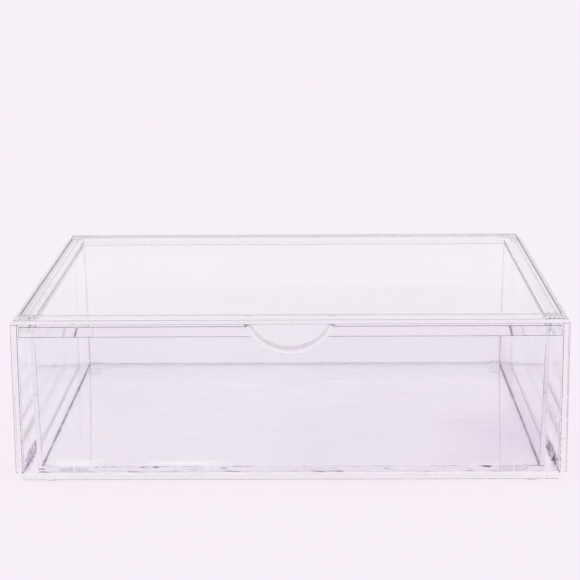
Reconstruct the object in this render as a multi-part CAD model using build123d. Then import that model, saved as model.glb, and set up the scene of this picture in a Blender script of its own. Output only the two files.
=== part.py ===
from build123d import *
from math import cos, radians, tan
import os

os.makedirs("parts", exist_ok=True)

# A clear stackable box with one drawer, cemented together from polished panels.
# X runs left to right, Y front to back, Z up. All sizes are in millimetres.
# The origin is in the middle of the footprint, at the level the feet stand on.

# Casing
case_width = 305.0  # outside, left to right
case_depth = 236.2  # outside, front to back
case_height = 93.2  # outside, from the base to the top of the stacking rim
corner_bevel = 4.2  # 45 degree cut along the four long outer corners
side_wall = 3.6
back_wall = 3.5
base_wall = 3.5
top_wall = 2.5
cement_line = 0.05  # thickness of the joint between two cemented pieces
edge_break = 0.2  # small polished bevel on the exposed edges

# Stacking rim on the casing top
rim_height = 2.2
rim_side_width = 13.0
rim_front_width = 4.6
rim_back_width = 12.5

# Feet, which stand inside the rim of the box below
foot_diameter = 9.0
foot_height = 2.5
foot_bevel = 0.6
stack_clearance = 0.8  # between a foot and the rim

# Drawer
front_wall = 3.5
front_setback = 0.4  # the drawer front stands this far behind the casing's front edges
front_clearance = 0.5  # beside the drawer front
front_top_gap = 1.9  # over the drawer front's bevelled edge
slide_clearance = 0.3  # under the drawer and over its guide rails
floor_wall = 3.2
drawer_wall = 2.6
wall_lean = 1.3  # degrees, the side walls lean outwards
front_bevel_height = 5.0  # wide bevel along the top of the front's outer face
front_bevel_depth = 2.7

# Finger notch and its lip
notch_radius = 24.4
notch_depth = 13.9  # below the tops of the lip's ends
lip_wall = 2.7
lip_reach = 8.0  # front to back
lip_end_radius = 1.1  # rounded edges of the lip's two ends
lip_top_gap = 0.5  # over the lip's ends

# Guide rails on the outside of the drawer's side walls
rail_diameter = 5.5
rail_clearance = 1.2  # between a rail and the casing wall
rail_flat = 0.3  # depth of the flat that is cemented to the wall
wall_rise = 0.55  # the drawer walls end this far above the rail's centre

# Soft bumper blocks in the casing's rear corners, and stops under the casing top
bumper_width = 8.0
bumper_height = 3.4
bumper_depth = 3.25
closing_clearance = 0.3
bumper_margin = 1.0  # from a bumper to the drawer's outer edge
stop_width = 8.0
stop_depth = 4.0
stop_catch = 1.5  # how far a stop reaches below the top of the drawer's walls
stop_inset = 37.0  # from the side of the casing to the middle of a stop
stop_gap = 2.0  # between a stop and the closed drawer front

# Levels and places worked out from the sizes above
half_width = case_width / 2
front_y = -case_depth / 2
back_y = case_depth / 2
base_z = foot_height
casing_top_z = base_z + case_height
base_top_z = base_z + base_wall
panel_top_z = casing_top_z - rim_height
panel_under_z = panel_top_z - top_wall
inner_half_width = half_width - side_wall
inner_back_y = back_y - back_wall

front_face_y = front_y + front_setback
front_inner_y = front_face_y + front_wall
front_half_width = inner_half_width - front_clearance
front_top_z = panel_under_z - front_top_gap
lip_top_z = panel_under_z - lip_top_gap
drawer_under_z = base_top_z + slide_clearance
floor_top_z = drawer_under_z + floor_wall
drawer_back_y = inner_back_y - cement_line - bumper_depth - closing_clearance
drawer_back_inner_y = drawer_back_y - drawer_wall

rail_radius = rail_diameter / 2
rail_x = inner_half_width - rail_clearance - rail_radius
rail_z = panel_under_z - slide_clearance - rail_radius
wall_top_z = rail_z + wall_rise
lean_slope = tan(radians(wall_lean))
wall_section = drawer_wall / cos(radians(wall_lean))  # a leaning wall, measured level
notch_centre_z = lip_top_z - notch_depth + notch_radius
foot_x = half_width - rim_side_width - stack_clearance - foot_diameter / 2
foot_front_y = front_y + rim_front_width + stack_clearance + foot_diameter / 2
foot_back_y = back_y - rim_back_width - stack_clearance - foot_diameter / 2


def slab(x_low, x_high, y_low, y_high, z_low, z_high):
    """A plain panel between two corners."""
    size = (x_high - x_low, y_high - y_low, z_high - z_low)
    middle = ((x_low + x_high) / 2, (y_low + y_high) / 2, (z_low + z_high) / 2)
    return Pos(*middle) * Box(*size)


def along_depth(points, y_low, y_high):
    """A bar from y_low to y_high whose section has the given (x, z) corners."""
    section = Plane((0, y_high, 0), x_dir=(1, 0, 0), z_dir=(0, -1, 0))
    return extrude(section * make_face(Polyline(*points, close=True)), y_high - y_low)


def along_width(points, x_low, x_high):
    """A bar from x_low to x_high whose section has the given (y, z) corners."""
    section = Plane((x_low, 0, 0), x_dir=(0, 1, 0), z_dir=(1, 0, 0))
    return extrude(section * make_face(Polyline(*points, close=True)), x_high - x_low)


def rod(x, z, radius, y_low, y_high):
    """A round bar that runs front to back."""
    return Pos(x, (y_low + y_high) / 2, z) * Rot(90, 0, 0) * Cylinder(radius, y_high - y_low)


def polished(panel, edges, wall):
    """The panel with a small bevel on the given edges."""
    return chamfer(edges, min(edge_break, wall / 4))


def mirrored(part):
    return mirror(part, about=Plane.YZ)


def save(node, part):
    part.label = node
    export_step(part, f"parts/{node}.step")


# Outer form of the casing: an eight-sided bar, from which each outer panel takes its bevel.
bevel_x = half_width - corner_bevel
casing_form = along_depth(
    [
        (-bevel_x, base_z),
        (bevel_x, base_z),
        (half_width, base_z + corner_bevel),
        (half_width, casing_top_z - corner_bevel),
        (bevel_x, casing_top_z),
        (-bevel_x, casing_top_z),
        (-half_width, casing_top_z - corner_bevel),
        (-half_width, base_z + corner_bevel),
    ],
    front_y,
    back_y,
)


def casing_panel(x_low, x_high, y_low, y_high, z_low, z_high):
    """A panel of the casing, cut to the casing's outer form."""
    return slab(x_low, x_high, y_low, y_high, z_low, z_high) & casing_form


def casing_base():
    panel = casing_panel(-half_width, half_width, front_y, back_y, base_z, base_top_z)
    return polished(panel, panel.edges().filter_by(Axis.X), base_wall)


def casing_right_side():
    panel = casing_panel(
        inner_half_width,
        half_width,
        front_y,
        back_y,
        base_top_z + cement_line,
        panel_under_z - cement_line,
    )
    return polished(panel, panel.edges().filter_by(Axis.Z), side_wall)


def casing_back():
    panel = slab(
        -inner_half_width + cement_line,
        inner_half_width - cement_line,
        inner_back_y,
        back_y,
        base_top_z + cement_line,
        panel_under_z - cement_line,
    )
    return polished(panel, panel.edges().filter_by(Axis.X), back_wall)


def casing_top():
    """The top panel. Its upper edges are flush with the rim, so only the lower ones are polished."""
    panel = casing_panel(-half_width, half_width, front_y, back_y, panel_under_z, panel_top_z)
    lower = panel.faces().sort_by(Axis.Z)[0]
    return polished(panel, lower.edges().filter_by(Axis.X), top_wall)


def rim_strip(x_low, x_high, y_low, y_high):
    """One strip of the stacking rim, with its upper edges polished."""
    strip = casing_panel(x_low, x_high, y_low, y_high, panel_top_z + cement_line, casing_top_z)
    return polished(strip, strip.faces().sort_by(Axis.Z)[-1].edges(), rim_height)


def foot():
    """A low round foot that narrows a little where it stands."""
    disc = Pos(0, 0, (foot_height - cement_line) / 2) * Cylinder(
        foot_diameter / 2, foot_height - cement_line
    )
    return chamfer(disc.edges().sort_by(Axis.Z)[0], min(foot_bevel, foot_height / 2))


def wall_outer_x(z):
    """Where the outer face of the drawer's right wall is at height z."""
    at_rail = rail_x - rail_radius + rail_flat - cement_line
    return at_rail - (rail_z - z) * lean_slope


def drawer_floor():
    """The floor, which the side walls and the back stand on."""
    edge_x = wall_outer_x(floor_top_z)
    return slab(
        -edge_x,
        edge_x,
        front_inner_y + cement_line,
        drawer_back_y,
        drawer_under_z,
        floor_top_z,
    )


def drawer_right_side():
    low, high = floor_top_z + cement_line, wall_top_z
    wall = along_depth(
        [
            (wall_outer_x(low) - wall_section, low),
            (wall_outer_x(low), low),
            (wall_outer_x(high), high),
            (wall_outer_x(high) - wall_section, high),
        ],
        front_inner_y + cement_line,
        drawer_back_y,
    )
    return polished(wall, wall.faces().sort_by(Axis.Z)[-1].edges().filter_by(Axis.Y), drawer_wall)


def drawer_back():
    """The back, which fills the space between the leaning side walls."""
    low, high = floor_top_z + cement_line, wall_top_z
    low_x = wall_outer_x(low) - wall_section - cement_line
    high_x = wall_outer_x(high) - wall_section - cement_line
    wall = along_depth(
        [(-low_x, low), (low_x, low), (high_x, high), (-high_x, high)],
        drawer_back_inner_y,
        drawer_back_y,
    )
    return polished(wall, wall.faces().sort_by(Axis.Z)[-1].edges().filter_by(Axis.X), drawer_wall)


def drawer_front():
    """The wide front, bevelled along its top edge and cut out for the finger lip."""
    panel = along_width(
        [
            (front_face_y, drawer_under_z),
            (front_inner_y, drawer_under_z),
            (front_inner_y, front_top_z),
            (front_face_y + front_bevel_depth, front_top_z),
            (front_face_y, front_top_z - front_bevel_height),
        ],
        -front_half_width,
        front_half_width,
    )
    panel = polished(panel, panel.edges().filter_by(Axis.Z), front_wall)
    hole = rod(0, notch_centre_z, notch_radius + lip_wall + cement_line, front_y, front_inner_y + 1)
    return panel - hole


def finger_lip():
    """The curved lip that lines the notch and reaches back over the drawer."""
    lip_back_y = front_face_y + lip_reach
    reach = notch_radius + lip_wall
    outer = rod(0, notch_centre_z, reach, front_face_y, lip_back_y)
    inner = rod(0, notch_centre_z, notch_radius, front_y, lip_back_y + 1)
    below_top = slab(-reach, reach, front_face_y, lip_back_y, notch_centre_z - reach, lip_top_z)
    lip = (outer - inner) & below_top
    ends = lip.edges().filter_by(Axis.Y).group_by(Axis.Z)[-1]
    return fillet(ends, min(lip_end_radius, lip_wall / 3))


def right_guide_rail():
    """A round rail with a flat along the side that is cemented to the leaning wall."""
    y_low = front_inner_y + cement_line
    rail = rod(rail_x, rail_z, rail_radius, y_low, drawer_back_y)
    low, high = rail_z - rail_diameter, rail_z + rail_diameter
    keep = along_depth(
        [
            (wall_outer_x(low) + cement_line, low),
            (inner_half_width, low),
            (inner_half_width, high),
            (wall_outer_x(high) + cement_line, high),
        ],
        y_low,
        drawer_back_y,
    )
    return rail & keep


def right_bumper():
    """A low block on the casing base, which the closed drawer's floor comes up to."""
    x_high = wall_outer_x(floor_top_z) - bumper_margin
    y_high = inner_back_y - cement_line
    z_low = base_top_z + cement_line
    block = slab(
        x_high - bumper_width,
        x_high,
        y_high - bumper_depth,
        y_high,
        z_low,
        z_low + bumper_height,
    )
    return polished(block, block.faces().sort_by(Axis.Z)[-1].edges(), bumper_depth)


def right_stop():
    middle_x = half_width - stop_inset
    y_low = front_inner_y + stop_gap
    return slab(
        middle_x - stop_width / 2,
        middle_x + stop_width / 2,
        y_low,
        y_low + stop_depth,
        wall_top_z - stop_catch,
        panel_under_z - cement_line,
    )


save("casing_base", casing_base())
save("casing_back", casing_back())
save("casing_top", casing_top())
save("drawer_floor", drawer_floor())
save("drawer_back", drawer_back())
save("drawer_front", drawer_front())
save("finger_lip", finger_lip())

# The stacking rim: two full-width strips, and two between them.
rim_inner_x = half_width - rim_side_width
rim_front_y = front_y + rim_front_width
rim_back_y = back_y - rim_back_width
right_strip = rim_strip(rim_inner_x, half_width, rim_front_y + cement_line, rim_back_y - cement_line)
save("rim_front", rim_strip(-half_width, half_width, front_y, rim_front_y))
save("rim_back", rim_strip(-half_width, half_width, rim_back_y, back_y))
save("rim_right", right_strip)
save("rim_left", mirrored(right_strip))

# Pieces that come as a left and right pair.
right_pieces = {
    "casing_{}_side": casing_right_side(),
    "drawer_{}_side": drawer_right_side(),
    "{}_guide_rail": right_guide_rail(),
    "{}_bumper": right_bumper(),
    "{}_stop": right_stop(),
}
for name, piece in right_pieces.items():
    save(name.format("right"), piece)
    save(name.format("left"), mirrored(piece))

for row, y in (("front", foot_front_y), ("back", foot_back_y)):
    save(f"foot_{row}_right", Pos(foot_x, y, 0) * foot())
    save(f"foot_{row}_left", Pos(-foot_x, y, 0) * foot())

travel = drawer_back_inner_y - (front_inner_y + stop_gap + stop_depth)
print(f"drawer travel to the stops: {travel:.2f} mm")
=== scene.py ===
import math

import bmesh
import bpy
from mathutils import Matrix, Vector, noise


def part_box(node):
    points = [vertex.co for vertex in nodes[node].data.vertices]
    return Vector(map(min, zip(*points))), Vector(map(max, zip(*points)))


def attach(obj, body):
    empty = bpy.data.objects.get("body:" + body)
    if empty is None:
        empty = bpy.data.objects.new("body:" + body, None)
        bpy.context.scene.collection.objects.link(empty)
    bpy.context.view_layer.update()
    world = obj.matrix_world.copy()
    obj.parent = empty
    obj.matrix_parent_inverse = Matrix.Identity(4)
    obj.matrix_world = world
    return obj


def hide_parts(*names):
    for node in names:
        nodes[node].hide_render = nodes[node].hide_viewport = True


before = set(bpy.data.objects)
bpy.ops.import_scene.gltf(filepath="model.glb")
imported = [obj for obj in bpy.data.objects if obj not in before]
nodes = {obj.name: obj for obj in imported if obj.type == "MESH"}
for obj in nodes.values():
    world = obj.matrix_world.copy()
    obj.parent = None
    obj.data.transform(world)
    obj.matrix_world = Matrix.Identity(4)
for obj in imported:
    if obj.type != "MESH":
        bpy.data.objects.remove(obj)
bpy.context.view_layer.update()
mm = 0.001
touching = 0.01 * mm  # points closer than this are in one place
print("frame loaded:", len(nodes), "pieces")


def corners(node):
    return [v.co.copy() for v in nodes[node].data.vertices]


# The photograph's view, in metres and degrees, in the box's own frame
photoView = {
    "place": (0.01335, -1.0729, 0.3229),
    "heading": -0.78,  # to the right of straight ahead
    "tilt": 12.56,  # downwards
    "roll": 0.40,
    "lens": 112.13,
    "sensor": 36.0,
    "nearest": 0.01,
    "farthest": 60,
}


def placeCamera(view):
    data = bpy.data.cameras.new("photoCamera")
    data.lens = view["lens"]
    data.sensor_width = view["sensor"]
    data.sensor_fit = "HORIZONTAL"
    data.clip_start = view["nearest"]
    data.clip_end = view["farthest"]
    camera = bpy.data.objects.new("photoCamera", data)
    bpy.context.scene.collection.objects.link(camera)
    turn = Matrix.Rotation(-math.radians(view["heading"]), 4, "Z")
    turn = turn @ Matrix.Rotation(math.radians(90 - view["tilt"]), 4, "X")
    turn = turn @ Matrix.Rotation(-math.radians(view["roll"]), 4, "Z")
    camera.matrix_world = Matrix.Translation(view["place"]) @ turn
    bpy.context.scene.camera = camera


# Small steps that every shader here is made of. A value is a number, a colour or another node's socket
def feed(tree, socket, value):
    if isinstance(value, bpy.types.NodeSocket):
        tree.links.new(value, socket)
    elif isinstance(value, tuple):
        socket.default_value = (*value, 1)
    else:
        socket.default_value = value


def fade(tree, value, low, high):
    ramp = tree.nodes.new("ShaderNodeMapRange")
    ramp.interpolation_type = "SMOOTHSTEP"
    ramp.inputs["From Min"].default_value = low
    ramp.inputs["From Max"].default_value = high
    feed(tree, ramp.inputs["Value"], value)
    return ramp.outputs[0]


def blendColour(tree, share, first, second):
    mix = tree.nodes.new("ShaderNodeMix")
    mix.data_type = "RGBA"
    feed(tree, mix.inputs["Factor"], share)
    feed(tree, mix.inputs["A"], first)
    feed(tree, mix.inputs["B"], second)
    return mix.outputs["Result"]


def maths(tree, operation, *values):
    step = tree.nodes.new("ShaderNodeMath")
    step.operation = operation
    for socket, value in zip(step.inputs, values):
        feed(tree, socket, value)
    return step.outputs[0]


def patches(tree, place, scale, detail):
    cloud = tree.nodes.new("ShaderNodeTexNoise")
    cloud.inputs["Scale"].default_value = scale
    cloud.inputs["Detail"].default_value = detail
    feed(tree, cloud.inputs["Vector"], place)
    return cloud.outputs["Fac"]


def chooseByRay(tree, shown, others):
    path = tree.nodes.new("ShaderNodeLightPath")
    for ray, other in others:
        choose = tree.nodes.new("ShaderNodeMixShader")
        for socket, value in zip(choose.inputs, (path.outputs[ray], shown, other)):
            feed(tree, socket, value)
        shown = choose.outputs[0]
    return shown


# Studio: white paper, a pale wall behind the box, violet flags beside it, the unlit room
# behind the camera, and a white softbox overhead
studio = {
    "paper": (0.939, 0.871, 0.947),
    "paperHalf": 12.0,  # metres
    "softbox": (0.95, 0.92, 0.96),
    "softboxEdge": (0.62, 0.86),  # height at which the walls give way to the softbox
    "unlit": (0.20, 0.175, 0.23),
    "unlitReach": (0.74, 0.94),  # towards the camera
    "flag": (0.50, 0.45, 0.56),
    "flagReach": (0.50, 0.85),  # to either side
    "skirting": (0.05, 0.25),  # height up to which all walls are as pale as the paper
    "matt": (1.0, 1.0, 1.0),  # the light that matt things get, the same from all sides
    "mattStrength": 0.832,
    "lampStrength": 0.62,
    "lampWidth": 50.0,  # degrees across
    "lampFrom": (-0.5, -0.35, 1.0),
}


def background(tree, colour, strength=1.0):
    glow = tree.nodes.new("ShaderNodeBackground")
    feed(tree, glow.inputs["Color"], colour)
    glow.inputs["Strength"].default_value = strength
    return glow.outputs[0]


def lightRoom(room):
    world = bpy.data.worlds.new("studioRoom")
    bpy.context.scene.world = world
    world.use_nodes = True
    tree = world.node_tree
    tree.nodes.clear()
    place = tree.nodes.new("ShaderNodeTexCoord").outputs["Generated"]
    split = tree.nodes.new("ShaderNodeSeparateXYZ")
    tree.links.new(place, split.inputs[0])
    sideways = maths(tree, "ABSOLUTE", split.outputs["X"])
    towards = maths(tree, "MULTIPLY", split.outputs["Y"], -1)
    height = split.outputs["Z"]
    walls = blendColour(tree, fade(tree, sideways, *room["flagReach"]), room["paper"], room["flag"])
    walls = blendColour(tree, fade(tree, towards, *room["unlitReach"]), walls, room["unlit"])
    walls = blendColour(tree, fade(tree, height, *room["skirting"]), room["paper"], walls)
    walls = blendColour(tree, fade(tree, height, *room["softboxEdge"]), walls, room["softbox"])
    matt = background(tree, room["matt"], room["mattStrength"])
    plain = background(tree, room["paper"])
    seen = background(tree, walls)
    shown = chooseByRay(tree, seen, (("Is Diffuse Ray", matt), ("Is Camera Ray", plain)))
    out = tree.nodes.new("ShaderNodeOutputWorld")
    tree.links.new(shown, out.inputs["Surface"])


# The lamp lights matt things only: the softbox is what shines in the plastic
def hangLamp(room):
    lamp = bpy.data.lights.new("softLamp", "SUN")
    lamp.energy = room["lampStrength"]
    lamp.angle = math.radians(room["lampWidth"])
    holder = bpy.data.objects.new("softLamp", lamp)
    bpy.context.scene.collection.objects.link(holder)
    holder.rotation_euler = Vector(room["lampFrom"]).to_track_quat("Z", "Y").to_euler()
    holder.visible_glossy = False
    holder.visible_transmission = False


def layPaper(room):
    bm = bmesh.new()
    bmesh.ops.create_grid(bm, x_segments=1, y_segments=1, size=room["paperHalf"])
    mesh = bpy.data.meshes.new("studioPaper")
    bm.to_mesh(mesh)
    bm.free()
    paper = bpy.data.objects.new("studioPaper", mesh)
    bpy.context.scene.collection.objects.link(paper)
    mat = bpy.data.materials.new("whitePaper")
    mat.use_nodes = True
    tree = mat.node_tree
    tree.nodes.clear()
    out = tree.nodes.new("ShaderNodeOutputMaterial")
    matt = tree.nodes.new("ShaderNodeBsdfDiffuse")
    matt.inputs["Color"].default_value = (*room["paper"], 1)
    tree.links.new(matt.outputs[0], out.inputs["Surface"])
    mesh.materials.append(mat)


# One dictionary for each clear finish. An edge is the noise at which a patch starts, and is full
panelLook = {
    "name": "clearPanel",
    "tint": ((0.997, 0.998, 0.996), (0.986, 0.988, 0.988)),  # clearest, and where it is cloudy
    "cloud": 11.0,  # cloudy patches to the metre
    "cloudDetail": 3.0,
    "cloudEdge": (0.42, 0.66),
    "rough": (0.0, 0.03),
    "wear": 5.0,  # rough patches to a cloudy one
    "wearDetail": 4.0,
    "wearEdge": (0.50, 0.75),
    "clear": 1.0,  # the rest is matt, as on a sawn face
    "ripple": (26.0, 0.05),  # waves to the metre, and how strongly they bend the light
    "rippleDetail": 1.0,
    "rippleHeight": 0.1 * mm,
    "ior": 1.49,
    "gloss": 0.35,  # how strongly the faces mirror
    "lets": (0.993, 0.991, 0.993),  # what each face lets through to lamps and matt things
    "soak": (0.60, 0.52, 0.62),
    "density": 0.4,
}
drawerLook = dict(panelLook, name="clearDrawer", cloud=8.0)
floorLook = dict(drawerLook, name="clearDrawerFloor", ripple=(60.0, 0.6))
frontLook = dict(drawerLook, name="clearDrawerFront", tint=((0.968, 0.968, 0.974), (0.950, 0.947, 0.956)))
rimLook = dict(panelLook, name="clearRim", cloud=30.0, ripple=(70.0, 0.08))
trimLook = dict(panelLook, name="clearTrim", cloud=60.0, rough=(0.0, 0.08))
cementLook = dict(
    panelLook,
    name="setCement",
    cloud=240.0,
    tint=((0.66, 0.61, 0.71), (0.06, 0.04, 0.08)),
    rough=(0.02, 0.25),
    ripple=(900.0, 0.25),
)
# A pool of cement whose lilac tint is painted shade
poolLook = dict(
    cementLook,
    name="pooledCementPaintedShade",
    cloud=130.0,
    tint=((0.97, 0.95, 0.99), (0.66, 0.58, 0.74)),
    rough=(0.0, 0.1),
    ripple=(160.0, 0.5),
)
# Painted shade: near-black rounded edges round the finger notch
shadeEdgeLook = dict(
    panelLook,
    name="paintedShadeEdge",
    cloud=300.0,
    tint=((0.28, 0.22, 0.32), (0.07, 0.05, 0.09)),
    rough=(0.1, 0.3),
)
# Painted shade: a dark outline on the finger lip's outer edges and ends
shadeOutlineLook = dict(
    shadeEdgeLook,
    name="paintedShadeOutline",
    cloud=90.0,
    tint=((0.90, 0.88, 0.92), (0.16, 0.13, 0.19)),
)
satinLook = dict(
    trimLook,
    name="satinLedge",
    cloud=150.0,
    tint=((0.92, 0.90, 0.93), (0.84, 0.82, 0.86)),
    rough=(0.12, 0.25),
)
sawnLook = dict(trimLook, name="sawnEnd", cloud=500.0, rough=(0.28, 0.45), ripple=(1600.0, 0.3), clear=0.15)
# Painted shade: the dark ring round each rail end
shadeRingLook = dict(
    trimLook,
    name="paintedShadeRing",
    cloud=160.0,
    tint=((0.12, 0.09, 0.15), (0.02, 0.01, 0.03)),
    rough=(0.2, 0.4),
    clear=0.0,
)
rubberLook = dict(
    panelLook,
    name="clearRubber",
    tint=((0.96, 0.95, 0.97), (0.93, 0.92, 0.94)),
    cloud=220.0,
    rough=(0.25, 0.42),
    ripple=(1400.0, 0.3),
    ior=1.42,
    density=3.0,
)

# What the marks on a panel look like: dark lines of painted shade, white bands of painted highlight, and a
# painted lilac shade. A mark fades out between these shares of its half width
paintedShadeCoat = {"tint": (0.02, 0.01, 0.03), "lumps": 420.0, "edge": (1.2, 1.8), "clear": 1.0}
paintedHighlightCoat = {"tint": (0.97, 0.94, 0.98), "lumps": 35.0, "edge": (0.7, 1.7), "clear": 0.0}
paintedLilacCoat = {"tint": (0.80, 0.74, 0.87), "lumps": 18.0, "edge": (0.2, 1.9), "clear": 1.0}
lumpDetail = 2.0


# 0 on the marks, 1 away from them. A mark gives, for each axis that it names, its middle and half its width
def awayFromMarks(tree, place, marks, coat):
    split = tree.nodes.new("ShaderNodeSeparateXYZ")
    tree.links.new(place, split.inputs[0])
    uneven = patches(tree, place, coat["lumps"], lumpDetail)
    near, far = coat["edge"]
    away = None
    for mark in marks:
        outside = None
        for axis, (middle, half) in mark.items():
            distance = maths(tree, "ABSOLUTE", maths(tree, "SUBTRACT", split.outputs[axis], middle))
            share = fade(tree, maths(tree, "MULTIPLY_ADD", uneven, half, distance), half * near, half * far)
            outside = share if outside is None else maths(tree, "MAXIMUM", outside, share)
        away = outside if away is None else maths(tree, "MINIMUM", away, outside)
    return away


# Lamps and matt things see a plain film, so a stack of panels doesn't darken what lies behind it
def clearPlastic(look, coats=()):
    mat = bpy.data.materials.new(look["name"])
    mat.use_nodes = True
    tree = mat.node_tree
    tree.nodes.clear()
    add, link = tree.nodes.new, tree.links.new
    out = add("ShaderNodeOutputMaterial")
    place = add("ShaderNodeTexCoord").outputs["Object"]
    glass = add("ShaderNodeBsdfPrincipled")
    glass.inputs["IOR"].default_value = look["ior"]
    glass.inputs["Transmission Weight"].default_value = look["clear"]
    glass.inputs["Specular IOR Level"].default_value = look["gloss"]

    clouds = patches(tree, place, look["cloud"], look["cloudDetail"])
    tint = blendColour(tree, fade(tree, clouds, *look["cloudEdge"]), *look["tint"])
    # The coats lay painted shade and painted highlights over the panel's tint
    for coat, marks in coats:
        clean = awayFromMarks(tree, place, marks, coat)
        tint = blendColour(tree, clean, coat["tint"], tint)
        if coat["clear"] < 1:
            link(maths(tree, "MULTIPLY", clean, look["clear"]), glass.inputs["Transmission Weight"])
    link(tint, glass.inputs["Base Color"])

    wear = add("ShaderNodeMapRange")
    wear.inputs["From Min"].default_value, wear.inputs["From Max"].default_value = look["wearEdge"]
    wear.inputs["To Min"].default_value, wear.inputs["To Max"].default_value = look["rough"]
    link(patches(tree, place, look["cloud"] * look["wear"], look["wearDetail"]), wear.inputs["Value"])
    link(wear.outputs[0], glass.inputs["Roughness"])

    waves, push = look["ripple"]
    bump = add("ShaderNodeBump")
    bump.inputs["Strength"].default_value = push
    bump.inputs["Distance"].default_value = look["rippleHeight"]
    link(patches(tree, place, waves, look["rippleDetail"]), bump.inputs["Height"])
    link(bump.outputs[0], glass.inputs["Normal"])

    film = add("ShaderNodeBsdfTransparent")
    film.inputs["Color"].default_value = (*look["lets"], 1)
    others = [(ray, film.outputs[0]) for ray in ("Is Shadow Ray", "Is Diffuse Ray")]
    link(chooseByRay(tree, glass.outputs[0], others), out.inputs["Surface"])
    soak = add("ShaderNodeVolumeAbsorption")
    soak.inputs["Color"].default_value = (*look["soak"], 1)
    soak.inputs["Density"].default_value = look["density"]
    link(soak.outputs[0], out.inputs["Volume"])
    return mat


# Painted shade: dark lines along seams and edges, by half their width unless it says otherwise
paintedShadeLine = {
    "reach": 0.6 * mm,  # across the line's other directions
    "rimFoot": 0.16 * mm,
    "rimOuter": 0.46 * mm,
    "rimDown": 1.2 * mm,  # how far down the rim's outer face
    "rimShift": {"rim_left": 0.8 * mm, "rim_right": 0.0},  # of that line, to the right
    "rimStreak": 0.10 * mm,
    "streaks": {"rim_left": (3.2 * mm, 6.0 * mm), "rim_right": (6.0 * mm,)},  # from the rim's inner edge
    "topUnder": 0.20 * mm,
    "topSeam": 0.12 * mm,
    "frontTop": 0.14 * mm,
    "bevelFoot": 0.12 * mm,
    "sideFront": 0.22 * mm,
    "baseUnder": 0.26 * mm,
}


def outerTopEdge(node):
    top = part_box(node)[1][2]
    return max((v.x for v in corners(node) if top - v.z < touching), key=abs)


# Where each panel gets its lines of painted shade
def paintedShadeLines(node):
    (lowX, lowY, lowZ), (highX, _, highZ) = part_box(node)
    line, reach = paintedShadeLine, paintedShadeLine["reach"]
    if node == "casing_top":
        rimEdges = [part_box("rim_left")[1][0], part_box("rim_right")[0][0]]
        under = {"Y": (lowY, reach), "Z": (lowZ, line["topUnder"])}
        seam = {"Y": (lowY, reach), "Z": (highZ, line["topSeam"])}
        return [{"X": (x, line["rimFoot"]), "Z": (highZ, reach)} for x in rimEdges] + [under, seam]
    if node in line["streaks"]:
        inner = min((lowX, highX), key=abs)
        places = [inner + math.copysign(x, inner) for x in line["streaks"][node]]
        streaks = [{"X": (x, line["rimStreak"]), "Z": (highZ, reach)} for x in places]
        outer = outerTopEdge(node) + line["rimShift"][node]
        return streaks + [{"X": (outer, line["rimOuter"]), "Z": (highZ, line["rimDown"])}]
    if node == "casing_base":
        return [{"Y": (lowY, reach), "Z": (lowZ, line["baseUnder"])}]
    if node in ("casing_left_side", "casing_right_side"):
        return [{"X": (max((lowX, highX), key=abs), line["sideFront"]), "Y": (lowY, reach)}]
    if node == "drawer_front":
        foot = max(v.z for v in corners(node) if v.y - lowY < touching)
        return [{"Z": (highZ, line["frontTop"])}, {"Y": (lowY, reach), "Z": (foot, line["bevelFoot"])}]
    return []


# Painted highlights, as white bands: along edges, and two streaks on the drawer's floor behind its front
# joint
paintedHighlights = {
    "rimInner": (0.5 * mm, 1.1 * mm),  # across the top, and down the inner face
    "frontFoot": 0.5 * mm,
    "baseFront": (1.4 * mm, 0.35 * mm),  # back from the base's front edge, and down from it
    "highlightBehind": 9.0 * mm,  # from the drawer front's face
    "floorHighlights": (  # middle in X, half length, half depth
        (-119 * mm, 15 * mm, 7.5 * mm),
        (-62 * mm, 26 * mm, 4.5 * mm),
    ),
    "reach": 0.5 * mm,
}


def paintedHighlightMarks(node):
    (lowX, lowY, lowZ), (highX, _, highZ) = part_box(node)
    reach = paintedHighlights["reach"]
    if node in ("rim_left", "rim_right"):
        across, down = paintedHighlights["rimInner"]
        return [{"X": (min((lowX, highX), key=abs), across), "Z": (highZ, down)}]
    if node == "drawer_front":
        return [{"Y": (lowY, reach), "Z": (lowZ, paintedHighlights["frontFoot"])}]
    if node == "casing_base":
        back, down = paintedHighlights["baseFront"]
        return [{"Y": (lowY, back), "Z": (highZ, down)}]
    if node == "drawer_floor":
        y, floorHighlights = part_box("drawer_front")[0][1] + paintedHighlights["highlightBehind"], paintedHighlights["floorHighlights"]
        return [{"X": (x, halfX), "Y": (y, halfY), "Z": (highZ, reach)} for x, halfX, halfY in floorHighlights]
    return []


# A painted lilac shade at the right of the drawer: towards the foot of its right wall, and in patches on
# its floor
paintedLilacShade = {
    "wallFoot": 24 * mm,  # up the drawer's right wall
    "reach": 2 * mm,
    "floor": (  # middle and half width, in X and in Y
        ((128 * mm, 48 * mm), (-60 * mm, 60 * mm)),
        ((110 * mm, 26 * mm), (-101 * mm, 9 * mm)),
    ),
}


def paintedLilacMarks(node):
    low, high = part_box(node)
    if node == "drawer_right_side":
        return [{"Z": (low[2], paintedLilacShade["wallFoot"])}]
    if node == "drawer_floor":
        return [{"X": x, "Y": y, "Z": (high[2], paintedLilacShade["reach"])} for x, y in paintedLilacShade["floor"]]
    return []


def coatsOf(node):
    coats = [(paintedLilacCoat, paintedLilacMarks(node)), (paintedShadeCoat, paintedShadeLines(node)), (paintedHighlightCoat, paintedHighlightMarks(node))]
    return [(coat, marks) for coat, marks in coats if marks]


def lookOf(node):
    ownLooks = {"drawer_floor": floorLook, "drawer_front": frontLook}
    if node in ownLooks:
        return ownLooks[node]
    if node.startswith("drawer_"):
        return drawerLook
    return rimLook if node.startswith("rim_") else panelLook


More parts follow.
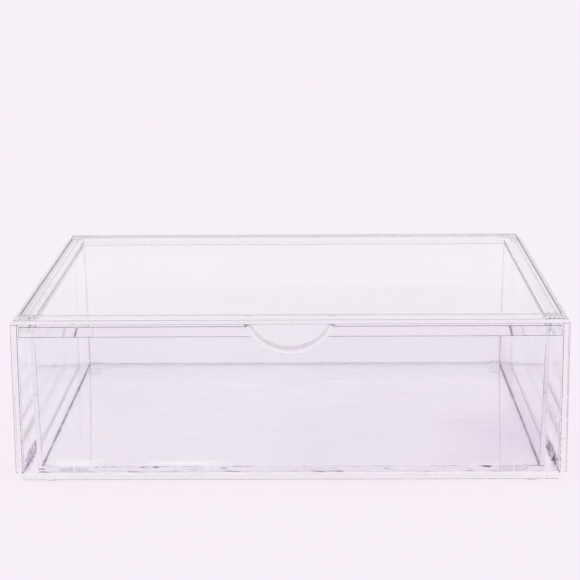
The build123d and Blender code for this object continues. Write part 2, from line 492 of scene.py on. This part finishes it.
# An edge that folds by more than so many degrees stays sharp
def finishPiece(name, bm, body, mat, sharp=35.0):
    bmesh.ops.recalc_face_normals(bm, faces=bm.faces)
    for face in bm.faces:
        face.smooth = True
    mesh = bpy.data.meshes.new(name)
    bm.to_mesh(mesh)
    bm.free()
    mesh.set_sharp_from_angle(angle=math.radians(sharp))
    mesh.materials.append(mat)
    piece = bpy.data.objects.new(name, mesh)
    bpy.context.scene.collection.objects.link(piece)
    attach(piece, body)
    return piece


def bevelEdges(bm, edges, width, segments):
    bmesh.ops.bevel(
        bm,
        geom=edges,
        offset=width,
        segments=segments,
        profile=0.5,
        affect="EDGES",
        material=-1,
        clamp_overlap=True,
    )


def cutAway(bm, place, facing):
    everything = bm.verts[:] + bm.edges[:] + bm.faces[:]
    cut = bmesh.ops.bisect_plane(bm, geom=everything, plane_co=place, plane_no=facing, clear_outer=True)
    rims = [e for e in cut["geom_cut"] if isinstance(e, bmesh.types.BMEdge)]
    bmesh.ops.holes_fill(bm, edges=rims, sides=0)


def cylinder(radius, length, sides):
    bm = bmesh.new()
    bmesh.ops.create_cone(bm, cap_ends=True, segments=sides, radius1=radius, radius2=radius, depth=length)
    return bm


# The half-moon lip that lines the finger notch
lip = {
    "notchRadius": 24.4 * mm,
    "wall": 2.7 * mm,
    "edgeRound": 0.45 * mm,
    "edgeSteps": 3,
    "endRound": 0.9 * mm,
    "endSteps": 5,
    "fold": 50.0,  # degrees, an edge sharper than this is rounded
    "tilted": (0.1, 0.95),  # how far a rounded edge's faces look along Y
    "turns": 96,
}


def makeFingerLip(mat, ledgeMat, edgeMat, outlineMat):
    low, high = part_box("finger_lip")
    outer = lip["notchRadius"] + lip["wall"]
    centre = Vector((0, 0, low[2] + outer))
    bm = bmesh.new()
    bmesh.ops.create_grid(bm, x_segments=1, y_segments=1, size=0.5)  # the wall's section
    bmesh.ops.scale(bm, vec=(lip["wall"], high[1] - low[1], 1), verts=bm.verts)
    middle = Vector((lip["notchRadius"] + lip["wall"] / 2, (low[1] + high[1]) / 2, 0))
    bmesh.ops.translate(bm, vec=centre + middle, verts=bm.verts)
    bmesh.ops.spin(
        bm,
        geom=bm.verts[:] + bm.edges[:] + bm.faces[:],
        cent=centre,
        axis=(0, 1, 0),
        angle=math.pi,
        steps=lip["turns"],
        use_merge=False,
    )
    cutAway(bm, (0, 0, high[2]), (0, 0, 1))
    bmesh.ops.recalc_face_normals(bm, faces=bm.faces)
    ends = [e for e in bm.edges if all(abs(v.co.z - high[2]) < touching for v in e.verts)]
    alongY = [e for e in ends if abs(e.verts[0].co.y - e.verts[1].co.y) > touching]
    bevelEdges(bm, alongY, lip["endRound"], lip["endSteps"])
    folds = [e for e in bm.edges if e.is_manifold and e.calc_face_angle() > math.radians(lip["fold"])]
    bevelEdges(bm, folds, lip["edgeRound"], lip["edgeSteps"])
    # Faces 2 and 3 get painted shade: dark rounded edges round the notch, and a dark outline on the outer
    # edges and ends
    for face in bm.faces:
        spot = face.calc_center_median()
        reach = math.hypot(spot.x - centre.x, spot.z - centre.z)
        tilted = lip["tilted"][0] < abs(face.normal.y) < lip["tilted"][1]
        onOuterEdge = tilted and reach > outer - lip["edgeRound"]
        face.material_index = 0
        if reach < lip["notchRadius"] + lip["edgeRound"]:
            face.material_index = 2 if tilted else 1
        elif onOuterEdge or spot.z > high[2] - lip["endRound"]:
            face.material_index = 3
    piece = finishPiece("fingerLip", bm, "drawer", mat)
    piece.data.materials.append(ledgeMat)
    piece.data.materials.append(edgeMat)
    piece.data.materials.append(outlineMat)
    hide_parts("finger_lip")


# The round rails on the outside of the drawer's side walls, which lean outwards
wallLean = math.radians(1.3)
rail = {
    "endRound": 0.7 * mm,
    "endSteps": 4,
    "sides": 96,
    "endFacing": 0.9,  # how far the faces of an end look along Y
    "ringFacing": 0.1,  # and those of the ring round it
}


def makeGuideRail(side, mat, endMat, ringMat):
    node = side + "_guide_rail"
    low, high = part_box(node)
    radius = (high[2] - low[2]) / 2
    outward = 1 if side == "right" else -1
    innerX, outerX = sorted((low[0], high[0]), key=abs)
    bm = cylinder(radius, high[1] - low[1], rail["sides"])
    bmesh.ops.rotate(bm, cent=(0, 0, 0), matrix=Matrix.Rotation(math.pi / 2, 3, "X"), verts=bm.verts)
    middle = (outerX - outward * radius, (low[1] + high[1]) / 2, (low[2] + high[2]) / 2)
    bmesh.ops.translate(bm, vec=middle, verts=bm.verts)
    flatTop = max(v.z for v in corners(node) if abs(v.x - innerX) < touching)
    cutAway(bm, (innerX, 0, flatTop), (-outward, 0, math.tan(wallLean)))
    endsY = (low[1], high[1])
    ends = [e for e in bm.edges for y in endsY if all(abs(v.co.y - y) < touching for v in e.verts)]
    bevelEdges(bm, ends, rail["endRound"], rail["endSteps"])
    # The ring round each end gets painted shade
    for face in bm.faces:
        facing = abs(face.normal.y)
        face.material_index = 1 if facing > rail["endFacing"] else 2 if facing > rail["ringFacing"] else 0
    piece = finishPiece(side + "GuideRail", bm, "drawer", mat)
    piece.data.materials.append(endMat)
    piece.data.materials.append(ringMat)
    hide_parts(node)


# Small moulded blocks: the stops and the bumpers
block = {"stopRound": 0.5 * mm, "bumperRound": 0.6 * mm, "steps": 4}


def makeBlock(node, name, body, mat, roundness):
    low, high = [Vector(corner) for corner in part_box(node)]
    bm = bmesh.new()
    bmesh.ops.create_cube(bm, size=1)
    bmesh.ops.scale(bm, vec=high - low, verts=bm.verts)
    bmesh.ops.translate(bm, vec=(low + high) / 2, verts=bm.verts)
    bevelEdges(bm, bm.edges[:], roundness, block["steps"])
    piece = finishPiece(name, bm, body, mat)
    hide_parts(node)


# The feet: round, with a rounded lower edge and a shallow dish underneath
foot = {
    "edgeRound": 0.6 * mm,
    "edgeSteps": 5,
    "dish": 0.35 * mm,  # deep
    "dishRing": 0.27,  # share of the radius that stays flat round the dish
    "dishSlope": 0.12,  # share of the radius
    "sides": 64,
}


def makeFoot(node, name, mat):
    low, high = [Vector(corner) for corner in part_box(node)]
    radius = (high.x - low.x) / 2
    bm = cylinder(radius, high.z - low.z, foot["sides"])
    bmesh.ops.translate(bm, vec=(low + high) / 2, verts=bm.verts)
    under = min(bm.faces, key=lambda face: face.normal.z)
    bevelEdges(bm, under.edges[:], foot["edgeRound"], foot["edgeSteps"])
    under = min(bm.faces, key=lambda face: face.calc_center_median().z)
    for share in (foot["dishRing"], foot["dishSlope"]):
        bmesh.ops.inset_individual(bm, faces=[under], thickness=radius * share)
    bmesh.ops.translate(bm, vec=(0, 0, foot["dish"]), verts=under.verts)
    piece = finishPiece(name, bm, "casing", mat)
    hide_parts(node)


# A bead of set cement along a joint: two legs on the panels and a hollow face, uneven along its length
bead = {
    "gap": 0.03 * mm,  # to each panel
    "uneven": 0.45,
    "lumps": 160.0,  # to the metre
    "spacing": 2.2 * mm,
    "faceSteps": (0.3, 0.5, 0.7),
    "hollow": 0.30,  # 0.5 is a flat face, 0 the most hollow
    "sharp": 60.0,
}


def runBead(name, start, end, legs, size, body, mat, thin=1.0):
    legs = [Vector(leg) for leg in legs]
    gap = (legs[0] + legs[1]) * bead["gap"]
    start, end = Vector(start) + gap, Vector(end) + gap
    hollow = (legs[0] + legs[1]) * size * bead["hollow"]
    bm = bmesh.new()
    ring = [start, start + legs[0] * size]
    for step in bead["faceSteps"]:
        along = start + legs[0] * size * (1 - step) ** 2 + legs[1] * size * step**2
        ring.append(along + hollow * 2 * step * (1 - step))
    ring.append(start + legs[1] * size)
    face = bm.faces.new([bm.verts.new(point) for point in ring])
    count = max(2, int((end - start).length / bead["spacing"]))
    stepAlong = (end - start) / count
    wide = 1.0
    for i in range(count + 1):
        corner = start + stepAlong * i
        if i:
            grown = bmesh.ops.extrude_face_region(bm, geom=[face])["geom"]
            face = next(g for g in grown if isinstance(g, bmesh.types.BMFace))
            bmesh.ops.translate(bm, vec=stepAlong, verts=face.verts)
        fresh = (1 + bead["uneven"] * noise.noise(corner * bead["lumps"])) * (1 + (thin - 1) * i / count)
        change = fresh / wide
        bmesh.ops.scale(bm, vec=(change,) * 3, space=Matrix.Translation(-corner), verts=face.verts)
        wide = fresh
    finishPiece(name, bm, body, mat, bead["sharp"])


# The drawer's joints: along its floor, and up its four corners
drawerJoint = {
    "floor": 0.62 * mm,
    "upright": 0.3,  # times as wide
    "cross": 0.22,  # times as wide, along the front and the back
    "endGap": 0.4 * mm,
    "belowTop": 1.0 * mm,
    "frontBelowTop": 10.0 * mm,
}


def cementDrawer(mat, poolMat):
    joint, size = drawerJoint, drawerJoint["floor"]
    frontY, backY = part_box("drawer_front")[1][1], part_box("drawer_back")[0][1]
    floorZ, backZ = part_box("drawer_floor")[1][2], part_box("drawer_back")[1][2]
    floorEnds = (frontY + joint["endGap"] + size, backY - joint["endGap"] - size)
    for side, outward in (("left", -1), ("right", 1)):
        wall = corners("drawer_" + side + "_side")
        footZ = min(v.z for v in wall)
        innerX = min((v.x for v in wall if v.z - footZ < touching), key=abs)
        topZ = backZ - joint["belowTop"]
        topX = innerX + outward * (topZ - floorZ) * math.tan(wallLean)
        up = (outward * math.sin(wallLean), 0, 1)
        upright = size * joint["upright"]
        startZ = floorZ + size
        frontZ = backZ - joint["frontBelowTop"]
        runs = (
            ("FloorBead", (innerX, floorEnds[0], floorZ), (innerX, floorEnds[1], floorZ), up, size),
            ("RearBead", (innerX, backY, startZ), (topX, backY, topZ), (0, -1, 0), upright),
            ("FrontBead", (innerX, frontY, startZ), (topX, frontY, frontZ), (0, 1, 0), upright),
        )
        for name, start, end, leg, width in runs:
            runBead(side + name, start, end, ((-outward, 0, 0), leg), width, "drawer", mat)
    reach = abs(innerX) - size - joint["endGap"]
    for name, y, inward, beadMat in (("rear", backY, -1, mat), ("front", frontY, 1, poolMat)):
        legs = ((0, inward, 0), (0, 0, 1))
        ends = ((-reach, y, floorZ), (reach, y, floorZ))
        runBead(name + "FloorBead", *ends, legs, size * joint["cross"], "drawer", beadMat)


# The casing's joints, where its panels meet inside
casingJoint = {
    "base": 0.4 * mm,
    "pool": 2.3 * mm,  # near the front, where the cement gathered
    "poolBehind": 18 * mm,  # the start of the beads
    "poolLength": 62 * mm,
    "poolThin": 0.3,  # times as wide at its end
    "poolRise": 2.6,  # times as high as it is wide
    "poolGap": 1.0 * mm,  # to the bead behind it
    "top": 0.7 * mm,
    "upright": 0.3 * mm,
    "rear": 0.45 * mm,
    "behindFront": 0.9 * mm,  # the beads start this far behind the drawer front
    "short": 1.5,  # times its width that a bead ends before a corner
    "crossShort": 2.0,  # the same along the back
}


def cementCasing(mat, poolMat):
    joint = casingJoint
    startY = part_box("drawer_front")[1][1] + joint["behindFront"]
    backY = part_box("casing_back")[0][1]
    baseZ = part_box("casing_base")[1][2]
    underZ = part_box("casing_top")[0][2]
    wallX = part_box("casing_right_side")[0][0]
    baseShort, topShort = joint["base"] * joint["short"], joint["top"] * joint["short"]
    poolStart = startY + joint["poolBehind"]
    poolEnd = poolStart + joint["poolLength"]
    runs = (
        ("Pool", baseZ, joint["pool"], joint["poolRise"], poolStart, poolEnd, joint["poolThin"], poolMat),
        ("Base", baseZ, joint["base"], 1, poolEnd + joint["poolGap"], backY - baseShort, 1.0, mat),
        ("Top", underZ, joint["top"], -1, startY, backY - topShort, 1.0, mat),
    )
    for side, outward in (("Left", -1), ("Right", 1)):
        x, inward = outward * wallX, (-outward, 0, 0)
        for name, z, size, leg, fromY, toY, thin, beadMat in runs:
            ends, legs = ((x, fromY, z), (x, toY, z)), (inward, (0, 0, leg))
            runBead("casing" + side + name + "Bead", *ends, legs, size, "casing", beadMat, thin)
        ends, legs = ((x, backY, baseZ + baseShort), (x, backY, underZ - topShort)), (inward, (0, -1, 0))
        runBead("casing" + side + "BackBead", *ends, legs, joint["upright"], "casing", mat)
    topReach = wallX - joint["top"] * joint["crossShort"]
    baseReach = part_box("right_bumper")[0][0] - joint["rear"] * joint["crossShort"]
    for name, reach, z, leg in (("Top", topReach, underZ, -1), ("Base", baseReach, baseZ, 1)):
        ends, legs = ((-reach, backY, z), (reach, backY, z)), ((0, -1, 0), (0, 0, leg))
        runBead("casingBack" + name + "Bead", *ends, legs, joint["rear"], "casing", mat)


placeCamera(photoView)
lightRoom(studio)
hangLamp(studio)
layPaper(studio)
print("camera, room and paper ready")

trim, cement, rubber = [clearPlastic(look) for look in (trimLook, cementLook, rubberLook)]
sawn, satin, ring = [clearPlastic(look) for look in (sawnLook, satinLook, shadeRingLook)]
shadeEdge, outline, pool = [clearPlastic(look) for look in (shadeEdgeLook, shadeOutlineLook, poolLook)]
for name, node in nodes.items():
    node.data.materials.clear()
    node.data.materials.append(clearPlastic(lookOf(name), coatsOf(name)))
print("panels finished")

makeFingerLip(trim, satin, shadeEdge, outline)
for side in ("left", "right"):
    makeGuideRail(side, trim, sawn, ring)
    makeBlock(side + "_stop", side + "Stop", "casing", trim, block["stopRound"])
    makeBlock(side + "_bumper", side + "Bumper", "casing", rubber, block["bumperRound"])
    for row in ("front", "back"):
        makeFoot("foot_" + row + "_" + side, row + side.title() + "Foot", rubber)
print("lip, rails, stops, bumpers and feet made")

cementDrawer(cement, pool)
cementCasing(cement, pool)
print("joints cemented")

# Light passes many clear faces before it reaches the paper
bounces = {"all": 32, "transmission": 32, "glossy": 24, "transparent": 48}
scene = bpy.context.scene
scene.view_settings.view_transform = "Standard"
scene.cycles.max_bounces = bounces["all"]
scene.cycles.transmission_bounces = bounces["transmission"]
scene.cycles.glossy_bounces = bounces["glossy"]
scene.cycles.transparent_max_bounces = bounces["transparent"]
